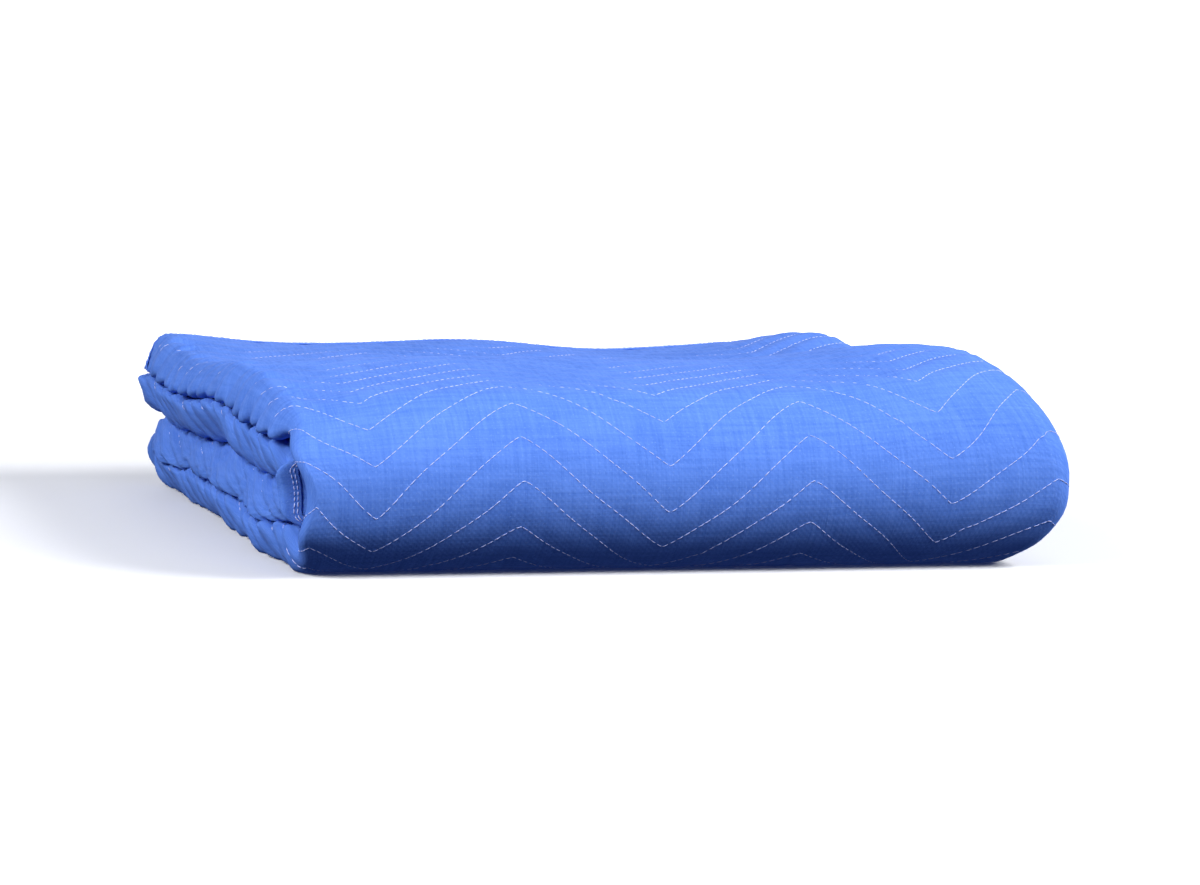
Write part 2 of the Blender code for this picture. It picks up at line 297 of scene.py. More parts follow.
def sag(x, s, fromLevel):
    # the inner two layers hang back from the outer two inside the front bend
    inner = easeBetween(s, 0.15 * pitch, -0.15 * pitch)
    arc = np.cos(np.radians(fromLevel) * 90.0 / folds["sagDeg"])
    arc = np.where(fromLevel < folds["sagDeg"], arc, 0.0)
    along = ease((x - leftLoopX) / folds["sagReach"])
    return inner * arc * arc * (folds["sagLeft"] + (folds["sagRight"] - folds["sagLeft"]) * along)


def place(u, v, height):
    # the point of the folded pile for each place on the cloth
    u, v, height = np.broadcast_arrays(*(np.asarray(value, float) for value in (u, v, height)))
    y, z, outY, outZ, fromLevel, leftIn = alongStrip(v)
    x, s, faceX, faceS, opening = acrossStrip(u, fromLevel)
    s = s - sag(x, s, fromLevel)
    s, x = s + faceS * height, x + faceX * height
    drawn, over = settling["endRound"]
    leftIn = leftIn + drawn * (1.0 - np.clip(fromEnds(v) / over, 0.0, 1.0)) ** 2
    x = x + leftIn * towardsLeft(x, settling["leftReach"])
    square = towardsLeft(x, settling["squareReach"]) * opening
    level = (z + outZ * s) / folds["height"]
    even, uneven = settling["pressedShare"]
    pressed = even + uneven * smoothNoise(y, level, settling["pressedCell"], 33)
    corner = settling["squareLoop"] + settling["squarePairs"] * np.sin(2.0 * pi * level) ** 2 * pressed
    x = x - corner * (2.0 * s / strip) ** 2 * square
    x, y, z = settle(x, y + outY * s, z + outZ * s - (pitch - folds["clothThickness"]) / 2)
    return np.stack([x, y, z], axis=-1)


# Rows of chevrons, sewn through the cloth.
quilting = {
    "rowSpacing": 0.0252,      # along the nominal cloth; the swells stretch it to about 28.5 mm
    "halfWave": 0.09075,       # across the cloth, from a peak to the next valley
    "peakToValley": 0.0710,
    "peakX": 0.0766,           # where a peak stands on the outer layer
    "rowFromFront": -0.0080,   # a row's peak above the foremost line of the front bend
    "peakRound": 0.0065,
    "valleyRound": 0.0030,
    "lastRise": 0.75,          # past the last valley at the right the lines climb to the outline
    "rows": (-22, 50),         # the first row and the one after the last
    "puffLying": 0.0015,
    "puffTaut": 0.0004,
    "puffSunk": 0.6,           # this share of the puff lies below the plain face, at the rows
    "puffLoop": 1.2,           # the loose loops puff this much more
    "grooveWidth": 0.0042,
    "wander": 0.0008,
    "kink": 0.0016,            # here and there the needle jumped sideways
    "kinkWidth": 0.0035,
}
squareToRow = 1.0 / (1.0 + (quilting["peakToValley"] / quilting["halfWave"]) ** 2) ** 0.5
faceOff = folds["clothThickness"] / 2
outerReach = 1.5 * pitch + faceOff
rowStart = vBend + 0.5 * (vUnder - vBend) + outerReach * pi / 2 + quilting["rowFromFront"]
uPeak = uOuter + rightBendX - quilting["peakX"]


def nominalS(u):
    # which layer of the strip u belongs to, as a distance from the strip's middle
    knots = [0, uTurn, uOuter, uLoop, uRise, uInner, clothWide]
    values = [-1.5, -1.5, 1.5, 1.5, -1.5, 0.5, 0.5]
    return np.interp(u, knots, values) * pitch


def alongCloth(u, v):
    # true distance along the cloth's outer face: outside layers go a longer way round each bend
    turned = np.interp(v, [0] + [run["start"] + run["length"] for run in alongRuns],
                       [0] + [run["turned"][1] for run in alongRuns])
    return v + (nominalS(u) + faceOff) * pi * turned


def chevron(u):
    # 0 at the peaks and 1 at the valleys; the peaks are rounder than the valleys
    wave = (u - uPeak) / quilting["halfWave"]
    wave = np.where(wave < -1.0, -1.0 + (wave + 1.0) * quilting["lastRise"], wave)
    fromPeak = np.abs(wave - 2.0 * np.round(wave / 2.0))
    peak, valley = (quilting[name] / quilting["halfWave"] for name in ("peakRound", "valleyRound"))
    return (1.0 + np.sqrt(fromPeak ** 2 + peak ** 2) - np.sqrt((1.0 - fromPeak) ** 2 + valley ** 2)) / 2


def rowOffset(u, row):
    # two slow waves and one small jump, at other places in each row
    wander = quilting["wander"] * (np.sin(u * 61.0 + row * 2.1) + 0.6 * np.sin(u * 137.0 + row * 4.7))
    kinkAt = uOuter + 0.45 * (np.sin(row * 7.13) * 0.5 + 0.5)
    kink = quilting["kink"] * np.cos(row * 3.0) * np.exp(-((u - kinkAt) / quilting["kinkWidth"]) ** 2)
    return quilting["peakToValley"] * chevron(u) + wander + kink


def fromRow(u, v):
    # distance to the nearest row of stitches, square to it
    along = alongCloth(u, v) - rowStart
    row = np.round((along - quilting["peakToValley"] * chevron(u)) / quilting["rowSpacing"])
    away = along - rowOffset(u, row) - row * quilting["rowSpacing"]
    return np.abs(away) * squareToRow


# How the loose loops gather, and how far into the pile the cloth can be seen, in metres.
puckers = {
    "gather": 0.0021,          # small folds that run round the loops
    "gatherCell": (0.012, 0.034),
    "fineGather": 0.0006,
    "fineCell": (0.006, 0.024),
    "lump": 0.0020,            # larger lumps along the loops
    "lumpCell": (0.034, 0.022),
    "puffCell": (0.030, 0.020),
    "puffUneven": (0.55, 0.65),
    "foldTop": 0.35,           # the small folds pinch up to a sharp top
    "loopFrom": 0.030,         # the gathers start this far before the loop
    "loopTo": 0.020,           # and end this far past its foot
    "tautFrom": 0.02,
    "tautOver": 0.05,
}
seenInside = {
    "rightTurn": 0.03,
    "rightLayer": 0.035,
    "leftLayer": 0.045,
    "loopFoot": 0.025,
    "underFront": 0.07,
    "backBend": 0.02,
    "fade": 0.02,
    "footFade": 0.015,
}


def tautness(v):
    # 1 on the smooth front roll, 0 on the lying layers
    start, over = puckers["tautFrom"], puckers["tautOver"]
    return ease((v - vBend + start) / over) * ease((vUnder + start - v) / over)


def onLoop(u):
    # 1 on the loose loops at the left, 0 on the layers
    start, finish = puckers["loopFrom"], puckers["loopTo"]
    return ease((u - uLoop + start) / start) * ease((uRise + finish - u) / finish)


def shownShare(u, v):
    # 1 where the cloth shows from outside, 0 deep inside the pile
    fade = seenInside["fade"]
    outer = ease((u - uTurn + seenInside["rightTurn"]) / fade)
    outer = outer * ease((uRise + seenInside["loopFoot"] - u) / seenInside["footFade"])
    side = np.maximum(ease((uOuter + seenInside["rightLayer"] - u) / fade),
                      ease((u - uLoop + seenInside["leftLayer"]) / fade))
    back = seenInside["backBend"]
    opened = np.maximum(ease((vUnder + seenInside["underFront"] - v) / fade),
                        ease((v - vBack + back) / fade) * ease((vMiddle + back - v) / fade))
    return outer * np.maximum(side, opened)


def halfCloth(u, v):
    # half the cloth's thickness, less where the tape holds it
    edge = folds["edgeThickness"] / 2
    inset = np.minimum(fromHems(u), fromEnds(v))
    return edge + (faceOff - edge) * ease((inset - folds["tapeWidth"]) / folds["edgeShoulder"])


def outerHeight(u, v):
    # the cloth's outer face off its middle, with its quilting and puckers
    taut = tautness(v)
    loop = onLoop(u) * (1.0 - taut)
    puffed = 1.0 - np.exp(-(fromRow(u, v) / quilting["grooveWidth"]) ** 2)
    deep = quilting["puffLying"] + (quilting["puffTaut"] - quilting["puffLying"]) * taut
    even, uneven = puckers["puffUneven"]
    uneven = even + uneven * smoothNoise(v, u, puckers["puffCell"], 7)
    more = 1.0 + quilting["puffLoop"] * loop * uneven
    puff = shownShare(u, v) * deep * (puffed - quilting["puffSunk"]) * more
    gathers = puckers["foldTop"] - np.abs(smoothNoise(v, u, puckers["gatherCell"], 5))
    fine = puckers["foldTop"] - np.abs(smoothNoise(v, u, puckers["fineCell"], 6))
    lump = smoothNoise(v, u, puckers["lumpCell"], 9)
    loose = puckers["gather"] * gathers + puckers["fineGather"] * fine + puckers["lump"] * lump
    return halfCloth(u, v) + puff + loop * loose


# The sheet's mesh: square cells, split in four where the cloth shows or bends sharply.
cells = {
    "across": 56,
    "along": 51,
    "deepest": 4,              # a cell is split in four up to this many times
    "shown": 3,
    "loose": 4,
    "edge": 3,
    "hidden": 1,
    "turn": 2,
    "turnMargin": 0.012,       # metres round each place that count as part of it
    "bendMargin": 0.010,
    "loopMargin": 0.004,
    "edgeBand": 0.018,
    "looseEnds": 0.017,
    "shownFrom": 0.02,
    "hemAtFront": (0.05, 0.03),   # before and past the front bend, where the hem shows
}


def edgeNeed(u, v):
    # how many times a cell is split at the hems, ends and bends, the same on both faces
    band, margin, small = cells["edgeBand"], cells["bendMargin"], cells["loopMargin"]
    nearHem = fromHems(u) < band
    need = np.where(nearHem, cells["turn"], cells["hidden"])
    before, past = cells["hemAtFront"]
    need = np.where(nearHem & (v > vBend - before) & (v < vUnder + past), cells["edge"], need)
    need = np.where(fromEnds(v) < band, cells["edge"], need)
    inBend = ((v > vBend - margin) & (v < vUnder + margin)) | ((v > vBack) & (v < vMiddle))
    inBend |= (v > vInner) & (v < vLast)
    turns = ((u > uTurn) & (u < uOuter)) | ((u > uLoop - margin) & (u < uInner))
    turns |= (u > uInnerTurn - small) & (u < uInnerHem + small)
    return np.where(inBend | turns, np.maximum(need, cells["turn"]), need)


def outerNeed(u, v):
    # the same for the outer face, which shows
    need = np.where(shownShare(u, v) > cells["shownFrom"], cells["shown"], 0)
    margin, small = cells["turnMargin"], cells["loopMargin"]
    need = np.where((u > uTurn - margin) & (u < uOuter + margin), cells["shown"], need)
    loose = (fromEnds(v) > cells["looseEnds"]) & (u > uLoop - small) & (u < uRise + small)
    need = np.where(loose, cells["loose"], need)
    return np.maximum(need, edgeNeed(u, v))


def splitLevels(need, wide, long):
    # which cells are split at each size; neighbours differ by one split at most
    deepest = cells["deepest"]
    split = {}
    deeper = None
    for level in range(deepest - 1, -1, -1):
        size = 2 ** (deepest - level)
        shape = (wide // size, size, long // size, size)
        wanted = (need > level).reshape(shape).any(axis=(1, 3))
        if deeper is not None:
            spread = deeper.copy()
            spread[1:] |= deeper[:-1]
            spread[:-1] |= deeper[1:]
            spread[:, 1:] |= deeper[:, :-1]
            spread[:, :-1] |= deeper[:, 1:]
            wanted |= spread.reshape(wide // size, 2, long // size, 2).any(axis=(1, 3))
        split[level] = wanted
        deeper = wanted
    return split


def gradedCells(needOf):
    # corners and faces in the plane of the cloth, and the corners round its border
    deepest = cells["deepest"]
    fine = 2 ** deepest
    wide, long = cells["across"] * fine, cells["along"] * fine
    u = (np.arange(wide) + 0.5) * clothWide / wide
    v = (np.arange(long) + 0.5) * clothLong / long
    split = splitLevels(needOf(*np.meshgrid(u, v, indexing="ij")), wide, long)
    leaves = []
    exists = np.ones((cells["across"], cells["along"]), bool)
    for level in range(deepest + 1):
        size = 2 ** (deepest - level)
        divided = split[level] & exists if level < deepest else np.zeros_like(exists)
        leaves += [(i * size, j * size, size) for i, j in np.argwhere(exists & ~divided)]
        exists = divided.repeat(2, axis=0).repeat(2, axis=1)
    leaves = np.array(leaves)
    used = np.zeros((wide + 1, long + 1), bool)
    for di in (0, 1):
        for dj in (0, 1):
            used[leaves[:, 0] + di * leaves[:, 2], leaves[:, 1] + dj * leaves[:, 2]] = True
    number = np.full((wide + 1, long + 1), -1)
    corners = np.argwhere(used)
    number[corners[:, 0], corners[:, 1]] = np.arange(len(corners))
    points = [tuple(corner) for corner in corners.astype(float)]
    faces = []
    for i, j, size in leaves:
        half = size // 2
        ring = [(i, j), (i + half, j), (i + size, j), (i + size, j + half), (i + size, j + size),
                (i + half, j + size), (i, j + size), (i, j + half)]
        around = [number[p] for n, p in enumerate(ring) if n % 2 == 0 or (half and used[p])]
        if len(around) == 4:
            faces.append(tuple(around))
            continue
        # a finer neighbour adds corners half way along a side, so the cell becomes a fan
        middle = len(points)
        points.append((i + half, j + half))
        faces += [(a, b, middle) for a, b in zip(around, around[1:] + around[:1])]
    rim = [(i, 0) for i in range(wide)] + [(wide, j) for j in range(long)]
    rim += [(i, long) for i in range(wide, 0, -1)] + [(0, j) for j in range(long, 0, -1)]
    border = [number[p] for p in rim if used[p]]
    points = np.array(points) * [clothWide / wide, clothLong / long]
    return points, faces, border


def newObject(name, points, faces, material):
    mesh = bpy.data.meshes.new(name)
    mesh.from_pydata(np.asarray(points).tolist(), [], faces)
    mesh.materials.append(material)
    mesh.shade_smooth()
    piece = bpy.data.objects.new(name, mesh)
    bpy.context.scene.collection.objects.link(piece)
    print(name, sum(len(face) - 2 for face in faces), "triangles")
    return piece


def layFlat(mesh, flatPlaces):
    # a map of the flat cloth in metres, so that the weave and the quilting follow the cloth
    layer = mesh.uv_layers.new(name="flatCloth")
    corner = np.zeros(len(mesh.loops), int)
    mesh.loops.foreach_get("vertex_index", corner)
    layer.data.foreach_set("uv", np.asarray(flatPlaces)[corner].ravel())


def makePanel(material):
    outer, outerFaces, outerRim = gradedCells(outerNeed)
    inner, innerFaces, innerRim = gradedCells(edgeNeed)
    outerU, outerV, innerU, innerV = *outer.T, *inner.T
    up = place(outerU, outerV, outerHeight(outerU, outerV))
    down = place(innerU, innerV, -halfCloth(innerU, innerV))
    # the two faces are joined all round the border
    back = len(up)
    faces = outerFaces + [tuple(back + i for i in reversed(face)) for face in innerFaces]
    innerRim = [back + i for i in innerRim]
    for a, b, c, d in zip(outerRim[1:] + outerRim[:1], outerRim, innerRim, innerRim[1:] + innerRim[:1]):
        faces.append((a, b, c, d))
    panel = newObject("quiltedPanel", np.concatenate([up, down]), faces, material)
    flatOuter = np.stack([outerU, alongCloth(outerU, outerV) - rowStart], -1)
    flatInner = np.stack([innerU, innerV - rowStart], -1)
    layFlat(panel.data, np.concatenate([flatOuter, flatInner]))
    return panel


# Edge binding: one tape folded over all four edges. Sizes in metres.
binding = {
    "width": 0.010,
    "thickness": 0.0008,
    "gap": 0.0003,
    "foldOut": 0.0022,         # how far the fold of the tape stands out past the cloth's edge
    "foldFrom": 0.0010,        # how far in the fold starts
    "foldThickness": 0.0009,
    "foldTurns": (20, 45, 70, 90, 110, 135, 160),
    "flatStops": (0.0072, 0.0050, 0.0025),
    "edgeRound": (0.0006, 0.0002),
    "step": 0.003,
    "ripple": 0.00035,
    "rippleCell": (0.009, 0.012),
    "rippleSlant": 1.3,
    "stitchRows": (0.0052, 0.0074),
    "stitchPitch": 0.0042,
    "stitchLength": 0.0038,
    "stitchShift": 0.1,        # each stitch starts up to this share of the pitch off its place
    "stitchLengths": (0.88, 1.05),
    "hemStitches": (0.02, 0.01),   # before and past the front bend, where the hem shows
    "stitchesFrom": 0.012,     # how far from the corners the stitches start and stop
    "stitchesTo": 0.016,
    "threadRadius": 0.00034,
    "threadLift": (-0.00022, 0.00018, 0.00018, -0.00022),
}
tapeInner = folds["edgeThickness"] / 2 + binding["gap"]
tapeOuter = tapeInner + binding["thickness"]
clothSides = (("hemStart", clothLong), ("endFinish", clothWide), ("hemFinish", clothLong),
              ("endStart", clothWide))


def edgeWalk():
    # places round the cloth's edge: side and distance along it; each corner once, where the tape is mitred
    clear = binding["width"] + binding["step"]
    walk = []
    for side, length in clothSides:
        count = int((length - 2 * clear) / binding["step"])
        stops = np.concatenate([[0.0], np.linspace(clear, length - clear, count)])
        walk += [(side, stop) for stop in stops]
    return walk


def onEdge(side, along, inset):
    # u and v of a place a given distance in from the edge
    length = clothLong if side.startswith("hem") else clothWide
    along = np.clip(along, inset, length - inset) if along > 0 else inset
    if side == "hemStart":
        return inset, along
    if side == "endFinish":
        return along, clothLong - inset
    if side == "hemFinish":
        return clothWide - inset, clothLong - along
    return clothWide - along, inset


def tapeSection():
    # the tape cut across, as inset and height: outside from one sewn edge to the other, then inside
    width, foldOut, foldFrom = (binding[name] for name in ("width", "foldOut", "foldFrom"))
    roundIn, roundDown = binding["edgeRound"]
    top = [(width, tapeOuter - roundDown), (width - roundIn, tapeOuter)]
    top += [(stop, tapeOuter) for stop in binding["flatStops"]]
    turns = [radians(turn) for turn in binding["foldTurns"]]
    fold = [(foldFrom - (foldOut + foldFrom) * sin(turn), tapeOuter * cos(turn)) for turn in turns]
    under = [(inset, -up) for inset, up in reversed(top)]
    insideFold = binding["foldThickness"] - foldOut
    inside = [(width, -tapeInner), (foldFrom, -tapeInner), (insideFold, -0.4 * tapeInner)]
    inside += [(inset, -up) for inset, up in reversed(inside)]
    return top + fold + under + inside


def tapeRipple(u, v):
    noise = smoothNoise(u + v * binding["rippleSlant"], u - v, binding["rippleCell"], 21)
    return np.abs(noise) * binding["ripple"]


def makeBinding(material):
    section, walk = tapeSection(), edgeWalk()
    places = [(*onEdge(side, along, inset), up) for side, along in walk for inset, up in section]
    u, v, height = np.array(places).T
    isOut = np.abs(height) > tapeInner + 0.0001
    points = place(u, v, height + np.sign(height) * isOut * tapeRipple(u, v))
    sides = len(section)
    faces = []
    for n in range(len(walk)):
        here, there = n * sides, (n + 1) % len(walk) * sides
        for k in range(sides):
            far = (k + 1) % sides
            faces.append((here + k, there + k, there + far, here + far))
    tape = newObject("edgeBinding", points, faces, material)
    layFlat(tape.data, np.stack([u, v], -1))
    return tape


# Quilting stitches: each is a small round-ended piece of thread that dips into the cloth. Metres.
stitching = {
    "pitch": 0.0050,
    "length": 0.0049,
    "shift": 0.10,             # each stitch starts up to this share of the pitch off its place
    "lengths": (0.86, 1.06),
    "radius": 0.00023,
    "lift": (-0.00014, 0.00014, 0.00014, -0.00014),
    "past": 0.02,              # the rows go on this far past the right and left turns
    "rowShift": 0.37,          # each row starts at another share of a stitch
    "shownFrom": 0.3,
    "clearOfTape": 0.002,
    "longestJump": 0.004,      # a stitch that would leap between two layers is left out
    "looseFrom": 0.35,
    "sunkBelow": 0.30,         # this share of the loops' stitches has sunk out of sight
    "sunkCell": (0.019, 0.009),
    "showAbove": 0.30,         # and the rest show where the cloth looks up more than this
}
threadSides, threadTaper = 5, 0.75
oneMillimetre = 0.001


def threadMesh(name, paths, ups, radius, material):
    # paths and ups: stitches x points x 3
    along = np.gradient(paths, axis=1)
    along /= np.linalg.norm(along, axis=2, keepdims=True) + 1e-12
    ups = ups - (ups * along).sum(2, keepdims=True) * along
    ups /= np.linalg.norm(ups, axis=2, keepdims=True) + 1e-12
    across = np.cross(along, ups)
    count, steps = paths.shape[:2]
    taper = np.sqrt(np.clip(1.0 - np.abs(np.linspace(-1, 1, steps)) ** 3 * threadTaper, 0, 1))
    rings = []
    for k in range(threadSides):
        angle = 2 * pi * k / threadSides
        offset = across * cos(angle) + ups * sin(angle)
        rings.append(paths + radius * taper[None, :, None] * offset)
    points = np.stack(rings, axis=2).reshape(-1, 3)
    pattern = []
    for here in range(0, (steps - 1) * threadSides, threadSides):
        there = here + threadSides
        for k in range(threadSides):
            far = (k + 1) % threadSides
            pattern.append((here + k, here + far, there + far, there + k))
    pattern.append(tuple(range(threadSides - 1, -1, -1)))
    pattern.append(tuple((steps - 1) * threadSides + k for k in range(threadSides)))
    stitchStarts = range(0, count * steps * threadSides, steps * threadSides)
    faces = [tuple(start + i for i in face) for start in stitchStarts for face in pattern]
    print(name, count, "stitches")
    return newObject(name, points, faces, material)


def vFromAlong(u, along):
    # the v of a place given its true distance along the outer face
    reach = (nominalS(u) + faceOff) * pi
    found = np.full_like(u, np.nan)
    for run in alongRuns:
        grow = 1.0 + reach * (run["turned"][1] - run["turned"][0]) / run["length"]
        start = run["start"] + reach * run["turned"][0]
        share = (along - start) / np.where(np.abs(grow) < 1e-6, 1e-6, grow)
        fits = (share >= 0) & (share <= run["length"]) & np.isnan(found)
        found = np.where(fits, run["start"] + share, found)
    return found


def isLoose(u, v):
    return (onLoop(u) > stitching["looseFrom"]) & (tautness(v) < 0.5)


def makeQuiltingThread(material):
    draw = np.random.default_rng(11)
    step = stitching["pitch"] * squareToRow
    length = stitching["length"] * squareToRow
    rows = np.arange(*quilting["rows"])
    starts = np.arange(uTurn - stitching["past"], uRise + stitching["past"], step)
    row, start = [grid.ravel() for grid in np.meshgrid(rows, starts, indexing="ij")]
    start = start + draw.uniform(-stitching["shift"], stitching["shift"], start.shape) * step
    start = start + (row * stitching["rowShift"] % 1.0) * step
    span = length * draw.uniform(*stitching["lengths"], start.shape)
    shares = np.linspace(0.0, 1.0, len(stitching["lift"]))
    u = start[:, None] + span[:, None] * shares[None, :]
    along = rowStart + rowOffset(u, row[:, None]) + row[:, None] * quilting["rowSpacing"]
    v = vFromAlong(u, along)
    found = ~np.isnan(v).any(axis=1)
    u, v = u[found], v[found]
    # a stitch is kept where it shows, clear of the tape and of the bends inside the pile
    oneU, oneV = u[:, 1], v[:, 1]
    kept = shownShare(oneU, oneV) > stitching["shownFrom"]
    kept &= fromEnds(v).min(axis=1) > folds["tapeWidth"] + stitching["clearOfTape"]
    kept &= np.abs(np.diff(v, axis=1)).max(axis=1) < stitching["longestJump"]
    kept &= ~((oneV > vInner) & (oneV < vLast))
    hidden = smoothNoise(oneV, oneU, stitching["sunkCell"], 14) * 0.5 + 0.5
    kept &= ~(isLoose(oneU, oneV) & (hidden < stitching["sunkBelow"]))
    u, v = u[kept], v[kept]
    height = outerHeight(u, v) + np.array(stitching["lift"])[None, :]
    paths = place(u, v, height)
    ups = place(u, v, height + oneMillimetre) - paths
    # on the loose loops the stitches show where the cloth looks up, and sink where it hangs
    seen = ~isLoose(u[:, 1], v[:, 1]) | (ups[:, 1, 2] > stitching["showAbove"] * oneMillimetre)
    return threadMesh("quiltingThread", paths[seen], ups[seen], stitching["radius"], material)


def makeBindingThread(material):
    draw = np.random.default_rng(12)
    places = []
    shares = np.linspace(0.0, 1.0, len(binding["threadLift"]))
    shift, (before, past) = binding["stitchShift"], binding["hemStitches"]
    for side, length in clothSides:
        finish = length - binding["stitchesTo"]
        starts = np.arange(binding["stitchesFrom"], finish, binding["stitchPitch"])
        for inset in binding["stitchRows"]:
            for start in starts:
                start = start + draw.uniform(-shift, shift) * binding["stitchPitch"]
                long = binding["stitchLength"] * draw.uniform(*binding["stitchLengths"])
                # along the hems the stitches are made only at the front bend, where they show
                if side.startswith("hem"):
                    fromStart = start if side == "hemStart" else length - start
                    if not vBend - before < fromStart < vUnder + past:
                        continue
                stitch = [onEdge(side, start + long * share, inset) for share in shares]
                places += [[(*spot, face) for spot in stitch] for face in (1.0, -1.0)]
    u, v, face = np.moveaxis(np.array(places), 2, 0)
    height = face * (tapeOuter + tapeRipple(u, v) + np.array(binding["threadLift"])[None, :])
    paths = place(u, v, height)
    ups = place(u, v, height + face * oneMillimetre) - paths
    return threadMesh("bindingThread", paths, ups, binding["threadRadius"], material)


def toLinear(hexColour):
    parts = [int(hexColour[i:i + 2], 16) / 255 for i in (1, 3, 5)]
    return tuple(p / 12.92 if p <= 0.04045 else ((p + 0.055) / 1.055) ** 2.4 for p in parts) + (1.0,)


def addNode(tree, kind, settings=None, **links):
    # a node with its settings; an input is set to a value or linked to another node's output,
    # and is given by its name, or by its number as i0, i1 and so on
    node = tree.nodes.new(kind)
    for key, value in (settings or {}).items():
        setattr(node, key, value)
    for key, value in links.items():
        name = int(key[1:]) if key[0] == "i" and key[1:].isdigit() else key.replace("_", " ")
        socket = node.inputs[name]
        if isinstance(value, bpy.types.NodeSocket):
            tree.links.new(value, socket)
        else:
            socket.default_value = value
    return node


def newMaterial(name):
    material = bpy.data.materials.new(name)
    material.use_nodes = True
    return material, material.node_tree, material.node_tree.nodes["Principled BSDF"]


clothFinish = {
    "deep": "#4a73cb",
    "light": "#5e87df",
    "toneRange": (0.95, 1.55),  # a narrower range makes the dye streaks stronger
    "faded": "#769be2",
    "fadedRange": (0.55, 0.75),
    "fadedMost": 0.45,
    "slubsPerMetre": 700.0,    # small faded slubs, about 1.4 mm apart
    "threadSpacing": 1.9,      # mm; the real 0.5 mm weave is too fine to show, so it is drawn coarser
    "weaveDepth": 0.00016,
    "weaveShare": 0.35,        # the rest of the relief comes from the thick and thin yarns
    "yarnShare": 1.6,
    "bumpStrength": 0.6,
    "streak": (2.4, 45.0),     # mm, across and along the uneven thick yarns
    "cloud": 42.0,             # mm, size of the soft dye clouds
    "cloudShare": 0.5,
    "roughness": 0.86,
    "sheen": 0.02,
    "sheenRoughness": 0.45,
    "specular": 0.05,
}
tapeFinish = dict(clothFinish, threadSpacing=1.2, streak=(1.6, 12.0))


def wovenCloth(name, finish):
    # plain woven poly-cotton: dull, with crossed uneven yarns and a slight fuzz that lightens its edges
    material, tree, shader = newMaterial(name)
    flat = addNode(tree, "ShaderNodeUVMap", {"uv_map": "flatCloth"}).outputs["UV"]
    apart = addNode(tree, "ShaderNodeSeparateXYZ", Vector=flat)
    multiply, noise = {"operation": "MULTIPLY"}, {"noise_dimensions": "3D"}
    perMetre = 1000.0 / finish["threadSpacing"] * pi
    waves = []
    for axis in ("X", "Y"):
        angle = addNode(tree, "ShaderNodeMath", multiply, i0=apart.outputs[axis], i1=perMetre)
        waves.append(addNode(tree, "ShaderNodeMath", {"operation": "SINE"}, i0=angle.outputs[0]))
    weave = addNode(tree, "ShaderNodeMath", multiply, i0=waves[0].outputs[0], i1=waves[1].outputs[0])
    # thick and thin yarns run both ways
    across, along = (1000.0 / size for size in finish["streak"])
    yarns = []
    for stretch in ((across, along, 1.0), (along, across, 1.0)):
        stretched = addNode(tree, "ShaderNodeVectorMath", multiply, i0=flat, i1=stretch)
        yarns.append(addNode(tree, "ShaderNodeTexNoise", noise, Vector=stretched.outputs[0],
                             Scale=1.0, Detail=3.0, Roughness=0.65).outputs["Fac"])
    yarn = addNode(tree, "ShaderNodeMath", {"operation": "ADD"}, i0=yarns[0], i1=yarns[1])
    cloud = addNode(tree, "ShaderNodeTexNoise", noise, Vector=flat,
                    Scale=1000.0 / finish["cloud"], Detail=3.0, Roughness=0.55)
    tone = addNode(tree, "ShaderNodeMath", {"operation": "MULTIPLY_ADD"}, i0=cloud.outputs["Fac"],
                   i1=finish["cloudShare"], i2=yarn.outputs[0])
    deepest, lightest = finish["toneRange"]
    share = addNode(tree, "ShaderNodeMapRange", Value=tone.outputs[0], From_Min=deepest,
                    From_Max=lightest, To_Min=0.0, To_Max=1.0)
    mixed = addNode(tree, "ShaderNodeMix", {"data_type": "RGBA"}, i0=share.outputs[0],
                    i6=toLinear(finish["deep"]), i7=toLinear(finish["light"]))
    # small slubs have lost some of their dye
    slub = addNode(tree, "ShaderNodeTexNoise", noise, Vector=flat, Scale=finish["slubsPerMetre"],
                   Detail=2.0, Roughness=0.6)
    low, high = finish["fadedRange"]
    specks = addNode(tree, "ShaderNodeMapRange", {"interpolation_type": "SMOOTHSTEP"},
                     Value=slub.outputs["Fac"], From_Min=low, From_Max=high, To_Min=0.0,
                     To_Max=finish["fadedMost"])
    colour = addNode(tree, "ShaderNodeMix", {"data_type": "RGBA"}, i0=specks.outputs[0],
                     i6=mixed.outputs[2], i7=toLinear(finish["faded"]))
    tree.links.new(colour.outputs[2], shader.inputs["Base Color"])
    softWeave = addNode(tree, "ShaderNodeMath", multiply, i0=weave.outputs[0], i1=finish["weaveShare"])
    relief = addNode(tree, "ShaderNodeMath", {"operation": "MULTIPLY_ADD"}, i0=yarn.outputs[0],
                     i1=finish["yarnShare"], i2=softWeave.outputs[0])
    bump = addNode(tree, "ShaderNodeBump", Height=relief.outputs[0], Strength=finish["bumpStrength"],
                   Distance=finish["weaveDepth"])
    tree.links.new(bump.outputs["Normal"], shader.inputs["Normal"])
    shader.inputs["Roughness"].default_value = finish["roughness"]
    shader.inputs["Sheen Weight"].default_value = finish["sheen"]
    shader.inputs["Sheen Roughness"].default_value = finish["sheenRoughness"]
    shader.inputs["Specular IOR Level"].default_value = finish["specular"]
    return material


threadFinish = {
    "colour": "#cdd4f4",
    "shade": "#a3b2ea",
    "roughness": 0.62,
    "twistsPerMetre": 1500.0,  # about 0.7 mm, the twist of the thread
    "bumpStrength": 0.4,
    "twistDepth": 0.0001,
}


